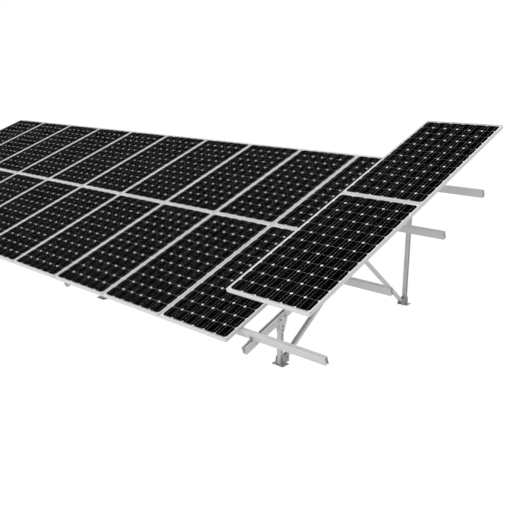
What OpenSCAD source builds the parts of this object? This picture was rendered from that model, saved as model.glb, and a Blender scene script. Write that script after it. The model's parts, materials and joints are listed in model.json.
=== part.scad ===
// Ground mount for a table of solar modules: two rows of portrait modules on
// four purlins, carried by four braced steel frames that stand on base shoes.
// Millimetres. X runs along the row, Y towards the high rear edge, Z up.
// The origin is on the ground, under the middle of the whole mount.

/* [Modules] */
// Width of one module, along the row
panel_w = 992; // [900:1:1140]
// Length of one module, up the slope
panel_l = 1956; // [1600:1:2300]
// Height of the module's aluminium frame
frame_h = 40; // [35:1:50]
// Number of module columns
columns = 11; // [9:1:11]
// Gap between neighbouring modules in a row
column_gap = 20; // [12:1:30]
// Gap between the two rows
row_gap = 20; // [12:1:60]
// Height by which the last column is lifted off its purlins
end_pair_lift = 525; // [0:5:800]

/* [Module frame section] */
// Thickness of the frame's outer wall
frame_wall = 2; // [1.5:0.1:3]
// Width of the lip over the glass
frame_lip = 10; // [8:0.5:13]
// Thickness of the lip and of the shelf below the glass
frame_lip_t = 1.8; // [1.4:0.1:2.5]
// Width of the foot flange under the frame
frame_foot = 30; // [24:1:40]
// Thickness of the glass
glass_t = 3.2; // [2.5:0.1:4]
// Thickness of a solar cell with its ribbons
cell_t = 0.4; // [0.3:0.1:0.8]
// Thickness of the white back sheet
backsheet_t = 1; // [0.6:0.1:1.6]
// Free space around the sheets in the frame's groove
groove_play = 0.2; // [0.1:0.1:0.5]
// Free space between the edge of a sheet and the frame's outer wall
sheet_inset = 1; // [0.5:0.5:2]
// Hairline between two frame rails at their mitred corner
mitre_gap = 0.2; // [0.1:0.1:0.5]

/* [Cells] */
// Free margin between the cells and a long side of their module
cell_margin_side = 21.75; // [12:0.25:60]
// Free margin between the cells and an end of their module
cell_margin_end = 28.25; // [12:0.25:80]
// Strings of cells across a module
strings_across = 6; // [4:1:6]
// Gap between neighbouring strings
string_gap = 2.5; // [1:0.5:4]

/* [Junction box] */
// Width of the junction box, across the module
box_w = 110; // [80:1:160]
// Length of the junction box
box_l = 90; // [60:1:120]
// Depth of the junction box
box_h = 22; // [15:1:26]
// Distance from the module's upper end to the box's middle
box_inset = 150; // [90:1:300]
// Diameter of a cable gland
gland_d = 12; // [8:1:16]
// Length of a cable gland
gland_l = 22; // [12:1:35]

/* [Slope] */
// Tilt of the modules from the ground
tilt = 20; // [15:1:28]
// Height of the module frame's lowest edge above the ground
ground_clearance = 420; // [380:5:800]

/* [Purlins] */
// Height of a purlin, square to the slope
purlin_h = 90; // [70:1:120]
// Width of a purlin, along the slope
purlin_w = 40; // [36:1:60]
// Sheet thickness of a purlin
purlin_t = 2.5; // [2:0.1:4]
// Width of a purlin's lips beside its open underside
purlin_lip = 12; // [8:1:14]
// Purlin ends beyond the outer modules
purlin_overhang = 20; // [15:5:200]
// Front purlin's middle from the lower row's front edge
front_inset_1 = 240; // [150:5:500]
// Second purlin's middle from the lower row's rear edge
rear_inset_1 = 580; // [300:5:700]
// Third purlin's middle from the upper row's front edge
front_inset_2 = 514; // [300:5:700]
// Rear purlin's middle from the upper row's rear edge
rear_inset_2 = 472; // [200:5:600]
// Module column over the joint of a purlin's two lengths, counted from its nearer end
splice_column = 5; // [2:1:5]
// Length of a purlin splice
splice_l = 300; // [200:10:400]
// Sheet thickness of a purlin splice
splice_t = 3; // [2:0.1:4]
// Free space between a splice and the purlin around it
splice_play = 0.3; // [0.1:0.1:0.6]

/* [Rafters] */
// Width of rafters, posts and braces, along the row
member_w = 50; // [45:1:60]
// Height of a rafter, square to the slope
rafter_h = 80; // [70:1:110]
// Sheet thickness of a rafter
rafter_t = 3; // [2:0.1:4]
// Width of a rafter's lip beside its open top
rafter_lip = 12; // [9:0.5:14]
// Rafter ends beyond the outer purlins' middles
rafter_overhang = 156; // [80:1:230]
// Outer frames' distance from the ends of the module table
frame_inset = 890; // [500:10:1200]
// Depth of the stiffening groove in the side walls of the members
groove_depth = 2; // [1:0.5:3]
// Width of that groove
groove_w = 14; // [8:1:20]

/* [Posts] */
// Depth of a post, across the row
post_d = 50; // [40:1:70]
// Sheet thickness of a post
post_t = 3; // [2:0.1:4]
// Width of a post's lip beside its open rear
post_lip = 12; // [9:0.5:14]
// Front post's distance up the slope from the front edge
front_post_up = 670; // [550:5:900]
// Rear post's distance down the slope from the rear edge
rear_post_down = 580; // [450:5:900]
// Room between a post's top and the rafter
post_top_gap = 6; // [3:0.5:15]

/* [Braces] */
// Depth of a brace
brace_d = 35; // [30:1:45]
// Sheet thickness of a brace
brace_t = 2.5; // [2:0.1:3]
// Middle of the brace joint, up the slope from the gap between the rows
brace_joint_up = 75; // [-100:5:200]
// Distance between the two brace bolts at that joint
brace_bolt_apart = 100; // [90:5:160]
// Brace bolts below the rafter's underside
brace_bolt_drop = 38; // [36:1:60]
// Brace end beyond its bolt
brace_end = 25; // [20:1:30]

/* [Plates and shoes] */
// Thickness of the side plates and of a shoe's ears
plate_t = 5; // [4:0.5:8]
// Length of a post head's side plate along the rafter
head_plate_l = 130; // [110:1:180]
// Overlap of the side plates on the rafter
plate_overlap = 62; // [45:1:68]
// Reach of a post head's side plate below the rafter
head_plate_drop = 120; // [115:1:160]
// Distance from a side plate's edge to the rafter bolts
plate_edge = 25; // [18:1:30]
// Upper post bolt of a post head, below the rafter
head_bolt_high = 52; // [45:1:56]
// Distance between the two post bolts of a post head
head_bolt_apart = 46; // [30:1:50]
// Height of a post head plate's wide part below the rafter
head_plate_skirt = 8; // [4:1:15]
// Free edge of a brace joint plate around the braces
joint_plate_edge = 6; // [3:1:12]
// Width of a base plate, along the row
base_w = 150; // [130:1:200]
// Length of a base plate, across the row
base_l = 110; // [100:1:160]
// Thickness of a base plate
base_t = 8; // [6:0.5:12]
// Base plate's reach beyond the post's axis, away from the brace
base_back = 50; // [45:1:60]
// Height of the upper post bolt above the ground
ear_bolt_high = 68; // [64:1:120]
// Height of the lower post bolt above the ground
ear_bolt_low = 34; // [28:1:36]
// Radius of a shoe's rounded ear
ear_r = 40; // [36:1:46]
// Brace bolt's distance from the post's axis
shoe_brace_out = 85; // [80:1:110]
// Brace bolt's height above the ground
shoe_brace_up = 62; // [55:1:80]
// Radius of the ear around the brace bolt
brace_ear_r = 28; // [24:1:32]
// Spacing of the anchor holes along the row
anchor_x = 118; // [110:1:160]
// Spacing of the anchor holes across the row
anchor_y = 60; // [40:1:80]
// Diameter of an anchor hole
anchor_hole_d = 14; // [10:1:18]

/* [Cleats] */
// Length of a cleat's foot on the rafter
cleat_foot = 45; // [35:1:60]
// Height of a cleat's leg on the purlin
cleat_leg = 42; // [35:1:60]
// Width of a cleat
cleat_w = 46; // [30:1:50]
// Thickness of a cleat
cleat_t = 4; // [3:0.5:6]
// Length of the channel nut inside a rafter
channel_nut_l = 24; // [18:1:30]
// Thickness of that nut
channel_nut_h = 8; // [6:1:12]
// Free space beside that nut, between the rafter's grooves
channel_nut_play = 1; // [0.5:0.5:2]

/* [Fasteners] */
// Thread diameter of the frame bolts
frame_bolt_d = 12; // [10:1:14]
// Thread diameter of the cleat and splice bolts
small_bolt_d = 10; // [8:1:10]
// Thread diameter of the module bolts
module_bolt_d = 8; // [6:1:8]
// Extra diameter of a hole round its bolt
hole_play = 1; // [0.5:0.5:2]
// Thickness of a washer
washer_t = 2; // [1:0.5:3]
// Diameter of a washer, in thread diameters
washer_across = 2.1; // [1.9:0.1:2.4]
// Width of a hexagon over its corners, in thread diameters
hexagon_across = 1.9; // [1.7:0.1:2]
// Height of a bolt's head, in thread diameters
bolt_head = 0.65; // [0.5:0.05:0.8]
// Height of a nut, in thread diameters
bolt_nut = 0.8; // [0.6:0.05:1]
// Free end of a bolt beyond its nut, in thread diameters
bolt_tail = 0.33; // [0.2:0.01:0.5]

/* [Hidden] */
$fn = 32;

// Number of braced frames, as the list of nodes names them
frames = 4;
steel = [0.72, 0.74, 0.73];
dark_steel = [0.42, 0.43, 0.43];
silver = [0.86, 0.87, 0.88];

// Overall sizes of the module table
column_pitch = panel_w + column_gap;
table_l = columns * column_pitch - column_gap;
half_l = table_l / 2;
half_slope = panel_l + row_gap / 2;
seated_columns = end_pair_lift > 0 ? columns - 1 : columns;
function lift(c) = c == columns - 1 ? end_pair_lift : 0;

// Levels square to the slope, down from the modules' top face
purlin_top = -frame_h;
rafter_top = purlin_top - purlin_h;
rafter_under = rafter_top - rafter_h;
rafter_mid = rafter_top - rafter_h / 2;

// The table's own frame: its origin is the middle of the gap between the rows
table_y = -frame_h * sin(tilt) / 2;
table_z = ground_clearance + half_slope * sin(tilt) + frame_h * cos(tilt);
function world_y(s, n) = table_y + s * cos(tilt) - n * sin(tilt);
function world_z(s, n) = table_z + s * sin(tilt) + n * cos(tilt);

// Stations up the slope
purlin_s = [
    -half_slope + front_inset_1,
    -row_gap / 2 - rear_inset_1,
    row_gap / 2 + front_inset_2,
    half_slope - rear_inset_2
];
rafter_low = purlin_s[0] - rafter_overhang;
rafter_high = purlin_s[3] + rafter_overhang;
front_post_s = -half_slope + front_post_up;
rear_post_s = half_slope - rear_post_down;
brace_n = rafter_under - brace_bolt_drop;

// Stations along the row
frame_pitch = (table_l - 2 * frame_inset) / (frames - 1);
function frame_x(i) = -half_l + frame_inset + (i - 1) * frame_pitch;
purlin_end = half_l + purlin_overhang;
function column_x(c) = -half_l + c * column_pitch;
splice_out = half_l - (splice_column - 1) * column_pitch - panel_w / 2;
function splice_x(p) = p % 2 == 1 ? splice_out : -splice_out;

// Posts, with their axes through the rafter's middle
front_y = world_y(front_post_s, rafter_mid);
rear_y = world_y(rear_post_s, rafter_mid);
function under_z(y) = table_z + (rafter_under + (y - table_y) * sin(tilt)) / cos(tilt);
function post_top(y) = under_z(y - post_d / 2) - post_top_gap;

// Brace ends, as points across the row and above the ground
front_foot = [front_y + shoe_brace_out, shoe_brace_up];
rear_foot = [rear_y - shoe_brace_out, shoe_brace_up];
brace_low_s = brace_joint_up - brace_bolt_apart / 2;
brace_high_s = brace_joint_up + brace_bolt_apart / 2;
front_head = [world_y(brace_low_s, brace_n), world_z(brace_low_s, brace_n)];
rear_head = [world_y(brace_high_s, brace_n), world_z(brace_high_s, brace_n)];

// Bolt places in the side plates
head_bolt_s = head_plate_l / 2 - plate_edge;
plate_bolt_n = rafter_under + plate_overlap - plate_edge;
head_bolt_drop = [head_bolt_high, head_bolt_high + head_bolt_apart];
grip = member_w + 2 * plate_t;
frame_hole_d = frame_bolt_d + hole_play;
small_hole_d = small_bolt_d + hole_play;
module_hole_d = module_bolt_d + hole_play;

// Sheets in the module frame
sheets_t = glass_t + cell_t + backsheet_t + 2 * groove_play;
sheet_edge = frame_wall + sheet_inset;
glass_low = -frame_lip_t - groove_play - glass_t;
cell_low = glass_low - cell_t;
backsheet_low = cell_low - backsheet_t;
foot_bolt_in = (frame_wall + frame_foot) / 2;
module_bolt_s = purlin_w / 2;

// Places a child that is drawn in the table's own frame
module on_table() {
    translate([0, table_y, table_z])
        rotate([tilt, 0, 0])
            children();
}

// Extrudes a profile drawn across the row, centred along the row
module across(w) {
    rotate([90, 0, 90])
        linear_extrude(height = w, center = true)
            children();
}

// Half outline of a lipped channel, open at the top, with grooved sides
function channel_half(w, h, t, lip, g, gw) = [
    [w / 2, 0],
    [w / 2, h / 2 - gw / 2 - g],
    [w / 2 - g, h / 2 - gw / 2],
    [w / 2 - g, h / 2 + gw / 2],
    [w / 2, h / 2 + gw / 2 + g],
    [w / 2, h],
    [w / 2 - lip, h],
    [w / 2 - lip, h - t],
    [w / 2 - t, h - t],
    [w / 2 - t, h / 2 + gw / 2 + g],
    [w / 2 - t - g, h / 2 + gw / 2],
    [w / 2 - t - g, h / 2 - gw / 2],
    [w / 2 - t, h / 2 - gw / 2 - g],
    [w / 2 - t, t]
];

// Lipped channel: base on the X axis, open side up
module channel_2d(w, h, t, lip, g, gw) {
    right = channel_half(w, h, t, lip, g, gw);
    last = len(right) - 1;
    left = [for (i = [last : -1 : 0]) [-right[i][0], right[i][1]]];
    polygon(concat(right, left));
}

// Plain channel: base on the X axis, open side up
module plain_channel_2d(w, h, t) {
    difference() {
        translate([-w / 2, 0]) square([w, h]);
        translate([-w / 2 + t, t]) square([w - 2 * t, h]);
    }
}

// Hexagonal head or nut, standing up from zero
module hexagon(d, h) {
    cylinder(d = hexagon_across * d, h = h, $fn = 6);
}

// Bolt with washers and nut round a grip that is centred on zero, along Z
module bolt_and_nut(d, g) {
    head_h = bolt_head * d;
    nut_h = bolt_nut * d;
    tail = bolt_tail * d;
    translate([0, 0, g / 2]) cylinder(d = washer_across * d, h = washer_t);
    translate([0, 0, g / 2 + washer_t]) hexagon(d, head_h);
    translate([0, 0, -g / 2 - washer_t]) cylinder(d = washer_across * d, h = washer_t);
    translate([0, 0, -g / 2 - washer_t - nut_h]) hexagon(d, nut_h);
    translate([0, 0, -g / 2 - washer_t - nut_h - tail])
        cylinder(d = d, h = g + 2 * washer_t + nut_h + tail + head_h / 2);
}

// Hole through a member along the row, at a point across the row
module row_hole(y, z) {
    translate([0, y, z])
        rotate([0, 90, 0])
            cylinder(d = frame_hole_d, h = 2 * grip, center = true);
}

// Places of the frame bolts, as points across the row and above the ground
function post_bolts(y) = [[y, ear_bolt_low], [y, ear_bolt_high]];
function head_bolts(y) = [for (d = head_bolt_drop) [y, under_z(y) - d]];
function rafter_bolts(s) = [for (k = [-1, 1])
    [world_y(s + k * head_bolt_s, plate_bolt_n), world_z(s + k * head_bolt_s, plate_bolt_n)]];

// Post: a grooved channel, open at the rear, drilled for its shoe and side plates
module post(i, y) {
    top = post_top(y);
    translate([frame_x(i), 0, 0])
        color(steel)
            difference() {
                translate([0, y - post_d / 2, base_t])
                    linear_extrude(height = top - base_t)
                        channel_2d(member_w, post_d, post_t, post_lip, groove_depth, groove_w);
                for (p = concat(post_bolts(y), head_bolts(y))) row_hole(p[0], p[1]);
            }
}
module front_post(i) {
    post(i, front_y);
}
module rear_post(i) {
    post(i, rear_y);
}

// Rafter: a grooved channel with its open side up, so that cleats bolt into it
module rafter_2d() {
    channel_2d(member_w, rafter_h, rafter_t, rafter_lip, groove_depth, groove_w);
}
module rafter(i) {
    translate([frame_x(i), 0, 0])
        color(steel)
            difference() {
                on_table()
                    translate([0, rafter_high, rafter_under])
                        rotate([90, 0, 0])
                            linear_extrude(height = rafter_high - rafter_low)
                                rafter_2d();
                for (s = [front_post_s, rear_post_s, brace_joint_up], p = rafter_bolts(s))
                    row_hole(p[0], p[1]);
            }
}

// Brace: a plain channel between two bolts, with its open side up
module brace(i, a, b) {
    run = norm(b - a);
    slope = atan2(b[1] - a[1], b[0] - a[0]);
    translate([frame_x(i), a[0], a[1]])
        rotate([slope, 0, 0])
            color(steel)
                difference() {
                    translate([0, run + brace_end, -brace_d / 2])
                        rotate([90, 0, 0])
                            linear_extrude(height = run + 2 * brace_end)
                                plain_channel_2d(member_w, brace_d, brace_t);
                    row_hole(0, 0);
                    row_hole(run, 0);
                }
}
module front_brace(i) {
    brace(i, front_foot, front_head);
}
module rear_brace(i) {
    brace(i, rear_head, rear_foot);
}

// Outline of a shoe's ear: round over the post, and round over the brace bolt
module ear_2d() {
    difference() {
        union() {
            translate([-ear_r, base_t]) square([2 * ear_r, ear_bolt_high - base_t]);
            translate([0, ear_bolt_high]) circle(r = ear_r);
            translate([0, base_t]) square([shoe_brace_out + brace_ear_r, shoe_brace_up - base_t]);
            translate([0, shoe_brace_up - brace_ear_r]) square([shoe_brace_out, 2 * brace_ear_r]);
            translate([shoe_brace_out, shoe_brace_up]) circle(r = brace_ear_r);
        }
        translate([0, ear_bolt_low]) circle(d = frame_hole_d);
        translate([0, ear_bolt_high]) circle(d = frame_hole_d);
        translate([shoe_brace_out, shoe_brace_up]) circle(d = frame_hole_d);
    }
}

// Base shoe: a drilled plate with two welded ears that hold post and brace
module shoe() {
    color(dark_steel)
        union() {
            difference() {
                translate([-base_w / 2, -base_back, 0]) cube([base_w, base_l, base_t]);
                for (kx = [-1, 1], ky = [-1, 1])
                    translate([kx * anchor_x / 2, base_l / 2 - base_back + ky * anchor_y / 2, -1])
                        cylinder(d = anchor_hole_d, h = base_t + 2);
            }
            for (k = [-1, 1])
                translate([k * (member_w + plate_t) / 2, 0, 0])
                    across(plate_t)
                        ear_2d();
        }
}
module front_shoes() {
    for (i = [1 : frames])
        translate([frame_x(i), front_y, 0]) shoe();
}
module rear_shoes() {
    for (i = [1 : frames])
        translate([frame_x(i), rear_y, 0]) mirror([0, 1, 0]) shoe();
}

// Side plate of a post head, wide on the rafter and narrow on the post
module head_plate(y, s) {
    low = under_z(y) - head_plate_drop;
    reach = head_plate_l / 2;
    top_n = rafter_under + plate_overlap;
    skirt_n = rafter_under - head_plate_skirt;
    across(plate_t)
        difference() {
            polygon([
                [y - post_d / 2, low],
                [y + post_d / 2, low],
                [world_y(s + reach, skirt_n), world_z(s + reach, skirt_n)],
                [world_y(s + reach, top_n), world_z(s + reach, top_n)],
                [world_y(s - reach, top_n), world_z(s - reach, top_n)],
                [world_y(s - reach, skirt_n), world_z(s - reach, skirt_n)]
            ]);
            for (p = concat(head_bolts(y), rafter_bolts(s)))
                translate(p) circle(d = frame_hole_d);
        }
}

// Side plate of the brace joint under the middle of the rafter
module joint_plate() {
    reach = brace_bolt_apart / 2 + brace_d / 2 + joint_plate_edge;
    drop = brace_bolt_drop + brace_d / 2 + joint_plate_edge;
    across(plate_t)
        difference() {
            translate([table_y, table_z])
                rotate(tilt)
                    translate([brace_joint_up - reach, rafter_under - drop])
                        square([2 * reach, drop + plate_overlap]);
            for (p = concat([front_head, rear_head], rafter_bolts(brace_joint_up)))
                translate(p) circle(d = frame_hole_d);
        }
}

// The side plates of one frame, in pairs that clasp the rafter
module side_plates(i) {
    color(steel)
        for (k = [-1, 1])
            translate([frame_x(i) + k * (member_w + plate_t) / 2, 0, 0]) {
                head_plate(front_y, front_post_s);
                head_plate(rear_y, rear_post_s);
                joint_plate();
            }
}

// Purlin section across the row: closed top, two lips beside its open underside
module purlin_2d() {
    polygon([
        [0, 0],
        [purlin_lip, 0],
        [purlin_lip, purlin_t],
        [purlin_t, purlin_t],
        [purlin_t, purlin_h - purlin_t],
        [purlin_w - purlin_t, purlin_h - purlin_t],
        [purlin_w - purlin_t, purlin_t],
        [purlin_w - purlin_lip, purlin_t],
        [purlin_w - purlin_lip, 0],
        [purlin_w, 0],
        [purlin_w, purlin_h],
        [0, purlin_h]
    ]);
}

// Front face of a purlin, and its places for bolts
function purlin_front(p) = purlin_s[p - 1] - purlin_w / 2;
cleat_bolt_n = rafter_top + (cleat_t + cleat_leg) / 2;
function module_bolt_xs(last) = [for (c = [0 : last - 1], k = [foot_bolt_in, panel_w - foot_bolt_in])
    column_x(c) + k];
splice_bolt_x = [-splice_l * 3 / 8, -splice_l / 8, splice_l / 8, splice_l * 3 / 8];

// One length of a purlin, drilled for its modules, cleats and splice
module purlin_length(p, from, to) {
    on_table()
        color(steel)
            difference() {
                translate([(from + to) / 2, purlin_front(p), rafter_top])
                    across(to - from)
                        purlin_2d();
                for (x = module_bolt_xs(columns))
                    if (x > from && x < to)
                        translate([x, purlin_front(p) + module_bolt_s, purlin_top - 2 * purlin_t])
                            cylinder(d = module_hole_d, h = 3 * purlin_t);
                for (i = [1 : frames])
                    translate([frame_x(i), purlin_front(p), cleat_bolt_n])
                        rotate([90, 0, 0])
                            cylinder(d = small_hole_d, h = 4 * purlin_t, center = true);
                for (x = splice_bolt_x)
                    translate([splice_x(p) + x, purlin_front(p), rafter_top + purlin_h / 2])
                        rotate([90, 0, 0])
                            cylinder(d = small_hole_d, h = 4 * purlin_t, center = true);
            }
}
module purlin_left(p) {
    purlin_length(p, -purlin_end, splice_x(p));
}
module purlin_right(p) {
    purlin_length(p, splice_x(p), purlin_end);
}

// Cleat: an angle in front of a purlin, bolted to its front wall and into the rafter
module cleat() {
    difference() {
        translate([-cleat_w / 2, -cleat_foot, 0])
            union() {
                cube([cleat_w, cleat_foot, cleat_t]);
                translate([0, cleat_foot - cleat_t, 0]) cube([cleat_w, cleat_t, cleat_leg]);
            }
        translate([0, 0, cleat_bolt_n - rafter_top])
            rotate([90, 0, 0])
                cylinder(d = small_hole_d, h = 4 * cleat_t, center = true);
        translate([0, -cleat_foot / 2 - cleat_t / 2, -1])
            cylinder(d = small_hole_d, h = cleat_t + 2);
    }
}
module purlin_cleats() {
    on_table()
        color(dark_steel)
            for (i = [1 : frames], p = [1 : 4])
                translate([frame_x(i), purlin_front(p), rafter_top])
                    cleat();
}

// Splices: plain channels inside the purlins, over the joint of two lengths
splice_h = purlin_h - 2 * purlin_t - 2 * splice_play;
splice_w = purlin_w - 2 * purlin_t - splice_play;
module purlin_splices() {
    on_table()
        color(steel)
            for (p = [1 : 4])
                translate([splice_x(p), purlin_front(p) + purlin_t, rafter_top + purlin_h / 2])
                    difference() {
                        across(splice_l)
                            translate([splice_w / 2, splice_h / 2])
                                mirror([0, 1])
                                    plain_channel_2d(splice_w, splice_h, splice_t);
                        for (x = splice_bolt_x)
                            translate([x, 0, 0])
                                rotate([90, 0, 0])
                                    cylinder(d = small_hole_d, h = 4 * splice_t, center = true);
                    }
}

// Bolts through the shoes, posts, braces, rafters and side plates
module frame_bolts() {
    places = concat(
        post_bolts(front_y),
        post_bolts(rear_y),
        head_bolts(front_y),
        head_bolts(rear_y),
        [front_foot, rear_foot, front_head, rear_head],
        rafter_bolts(front_post_s),
        rafter_bolts(rear_post_s),
        rafter_bolts(brace_joint_up)
    );
    color(dark_steel)
        for (i = [1 : frames], p = places)
            translate([frame_x(i), p[0], p[1]])
                rotate([0, 90, 0])
                    bolt_and_nut(frame_bolt_d, grip);
}

// Cleat bolts: one through each purlin's front wall, one into a nut inside the rafter
channel_nut_w = member_w - 2 * (rafter_t + groove_depth + channel_nut_play);
module cleat_bolts() {
    wall_grip = cleat_t + purlin_t;
    on_table()
        color(dark_steel)
            for (i = [1 : frames], p = [1 : 4])
                translate([frame_x(i), purlin_front(p), rafter_top]) {
                    translate([0, purlin_t - wall_grip / 2, cleat_bolt_n - rafter_top])
                        rotate([90, 0, 0])
                            bolt_and_nut(small_bolt_d, wall_grip);
                    translate([0, -cleat_foot / 2 - cleat_t / 2, 0])
                        channel_bolt();
                }
}

// Bolt from a cleat's foot into a rectangular nut below the rafter's lips
module channel_bolt() {
    head_h = bolt_head * small_bolt_d;
    tail = bolt_tail * small_bolt_d;
    nut_low = -rafter_t - channel_nut_h;
    translate([0, 0, cleat_t]) cylinder(d = washer_across * small_bolt_d, h = washer_t);
    translate([0, 0, cleat_t + washer_t]) hexagon(small_bolt_d, head_h);
    translate([0, 0, nut_low - tail])
        cylinder(d = small_bolt_d, h = tail - nut_low + cleat_t + washer_t + head_h / 2);
    translate([-channel_nut_w / 2, -channel_nut_l / 2, nut_low])
        cube([channel_nut_w, channel_nut_l, channel_nut_h]);
}

// Bolts that hold each splice to the front walls of its two purlin lengths
module splice_bolts() {
    wall_grip = purlin_t + splice_t;
    on_table()
        color(dark_steel)
            for (p = [1 : 4], x = splice_bolt_x)
                translate([splice_x(p) + x, purlin_front(p) + wall_grip / 2, rafter_top + purlin_h / 2])
                    rotate([90, 0, 0])
                        bolt_and_nut(small_bolt_d, wall_grip);
}

// Bolts from the foot flanges of the seated modules through the purlins
module module_bolts() {
    foot_grip = frame_lip_t + purlin_t;
    on_table()
        color(dark_steel)
            for (p = [1 : 4], x = module_bolt_xs(seated_columns))
                translate([x, purlin_front(p) + module_bolt_s, purlin_top + frame_lip_t - foot_grip / 2])
                    bolt_and_nut(module_bolt_d, foot_grip);
}

// Section of the module frame: outer wall on zero, foot flange below
module rail_2d() {
    groove_top = frame_h - frame_lip_t;
    groove_low = groove_top - sheets_t;
    shelf_low = groove_low - frame_lip_t;
    polygon([
        [0, 0],
        [frame_foot, 0],
        [frame_foot, frame_lip_t],
        [frame_wall, frame_lip_t],
        [frame_wall, shelf_low],
        [frame_lip, shelf_low],
        [frame_lip, groove_low],
        [frame_wall, groove_low],
        [frame_wall, groove_top],
        [frame_lip, groove_top],
        [frame_lip, frame_h],
        [0, frame_h]
    ]);
}

// A frame rail along X, mitred at both ends, with its outer wall on the X axis
module rail(l) {
    e = mitre_gap / 2;
    intersection() {
        translate([l / 2, 0, 0]) across(l) rail_2d();
        linear_extrude(height = frame_h)
            polygon([[e, 0], [l - e, 0], [l - frame_foot - e, frame_foot], [frame_foot + e, frame_foot]]);
    }
}

// A long rail along the slope, drilled where it crosses the row's two purlins
module long_rail(bolts) {
    difference() {
        translate([0, panel_l, 0]) rotate([0, 0, -90]) rail(panel_l);
        for (s = bolts)
            translate([foot_bolt_in, s, -1])
                cylinder(d = module_hole_d, h = frame_lip_t + 2);
    }
}

// The four rails of one module, from its lower left corner
module panel_frame(bolts) {
    color(silver)
        translate([0, 0, -frame_h]) {
            rail(panel_w);
            translate([panel_w, panel_l, 0]) rotate([0, 0, 180]) rail(panel_w);
            long_rail(bolts);
            translate([panel_w, 0, 0]) mirror([1, 0, 0]) long_rail(bolts);
        }
}

// A sheet in the frame's groove, from one level to another
module sheet(low, t) {
    translate([sheet_edge, sheet_edge, low])
        cube([panel_w - 2 * sheet_edge, panel_l - 2 * sheet_edge, t]);
}
module glass() {
    color([0.80, 0.88, 0.90, 0.35])
        sheet(glass_low, glass_t);
}
module backsheet() {
    color([0.93, 0.94, 0.94])
        sheet(backsheet_low, backsheet_t);
}

// The cells of one module, as strings of cells that ribbons join
string_pitch = (panel_w - 2 * cell_margin_side + string_gap) / strings_across;
string_w = string_pitch - string_gap;
string_l = panel_l - 2 * cell_margin_end;
module cells() {
    color([0.05, 0.05, 0.06])
        translate([cell_margin_side, cell_margin_end, cell_low])
            for (c = [0 : strings_across - 1])
                translate([c * string_pitch, 0, 0])
                    cube([string_w, string_l, cell_t]);
}

// Junction box under the back sheet, with its two empty cable glands
module junction_box() {
    color([0.10, 0.10, 0.10])
        translate([panel_w / 2, panel_l - box_inset, backsheet_low - box_h]) {
            translate([-box_w / 2, -box_l / 2, 0]) cube([box_w, box_l, box_h]);
            for (k = [-1, 1])
                translate([k * box_w / 4, -box_l / 2 - gland_l, box_h / 2])
                    rotate([-90, 0, 0])
                        difference() {
                            cylinder(d = gland_d, h = gland_l + 1);
                            translate([0, 0, -1]) cylinder(d = gland_d / 2, h = gland_l / 2);
                        }
        }
}

// Where the two rows begin, and where their modules meet the purlins
row_start = [-half_slope, row_gap / 2];
row_bolts = [
    [for (p = [1, 2]) purlin_front(p) + module_bolt_s - row_start[0]],
    [for (p = [3, 4]) purlin_front(p) + module_bolt_s - row_start[1]]
];

// Places a child at one module, counted in rows and columns from zero
module at_module(row, c) {
    translate([0, 0, lift(c)])
        on_table()
            translate([column_x(c), row_start[row], 0])
                children();
}

// Places a child at every module of one row
module in_row(row) {
    for (c = [0 : columns - 1])
        at_module(row, c)
            children();
}

// The frames of one column's two modules
module module_frames(number) {
    if (number <= columns)
        for (row = [0, 1])
            at_module(row, number - 1)
                panel_frame(row_bolts[row]);
}
module lower_glass() {
    in_row(0) glass();
}
module upper_glass() {
    in_row(1) glass();
}
module lower_cells() {
    in_row(0) cells();
}
module upper_cells() {
    in_row(1) cells();
}
module lower_backsheets() {
    in_row(0) backsheet();
}
module upper_backsheets() {
    in_row(1) backsheet();
}
module lower_junction_boxes() {
    in_row(0) junction_box();
}
module upper_junction_boxes() {
    in_row(1) junction_box();
}

front_post(1);  // front_post_1
front_post(2);  // front_post_2
front_post(3);  // front_post_3
front_post(4);  // front_post_4
rear_post(1);  // rear_post_1
rear_post(2);  // rear_post_2
rear_post(3);  // rear_post_3
rear_post(4);  // rear_post_4
rafter(1);  // rafter_1
rafter(2);  // rafter_2
rafter(3);  // rafter_3
rafter(4);  // rafter_4
front_brace(1);  // front_brace_1
front_brace(2);  // front_brace_2
front_brace(3);  // front_brace_3
front_brace(4);  // front_brace_4
rear_brace(1);  // rear_brace_1
rear_brace(2);  // rear_brace_2
rear_brace(3);  // rear_brace_3
rear_brace(4);  // rear_brace_4
front_shoes();
rear_shoes();
side_plates(1);  // side_plates_1
side_plates(2);  // side_plates_2
side_plates(3);  // side_plates_3
side_plates(4);  // side_plates_4
purlin_left(1);  // purlin_1_left
purlin_right(1);  // purlin_1_right
purlin_left(2);  // purlin_2_left
purlin_right(2);  // purlin_2_right
purlin_left(3);  // purlin_3_left
purlin_right(3);  // purlin_3_right
purlin_left(4);  // purlin_4_left
purlin_right(4);  // purlin_4_right
purlin_cleats();
purlin_splices();
frame_bolts();
cleat_bolts();
splice_bolts();
module_bolts();
module_frames(1);  // module_frames_01
module_frames(2);  // module_frames_02
module_frames(3);  // module_frames_03
module_frames(4);  // module_frames_04
module_frames(5);  // module_frames_05
module_frames(6);  // module_frames_06
module_frames(7);  // module_frames_07
module_frames(8);  // module_frames_08
module_frames(9);  // module_frames_09
module_frames(10);  // module_frames_10
module_frames(11);  // module_frames_11
lower_glass();
upper_glass();
lower_cells();
upper_cells();
lower_backsheets();
upper_backsheets();
lower_junction_boxes();
upper_junction_boxes();
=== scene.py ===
# %% [markdown]
# # A ground mount for solar modules, dressed piece by piece
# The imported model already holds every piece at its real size, so this lesson only
# gives those pieces their finish and adds the detail that a maker would look for:
# single cells with cut corners, silver ribbons, moulded junction boxes, chamfered
# bolts, weld beads and rounded steel edges. Everything is in metres, with +X along
# the row, +Y towards the high edge and +Z up.

# %% Load the frame
import json
import math

import bmesh
import bpy
from mathutils import Matrix, Vector


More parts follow.
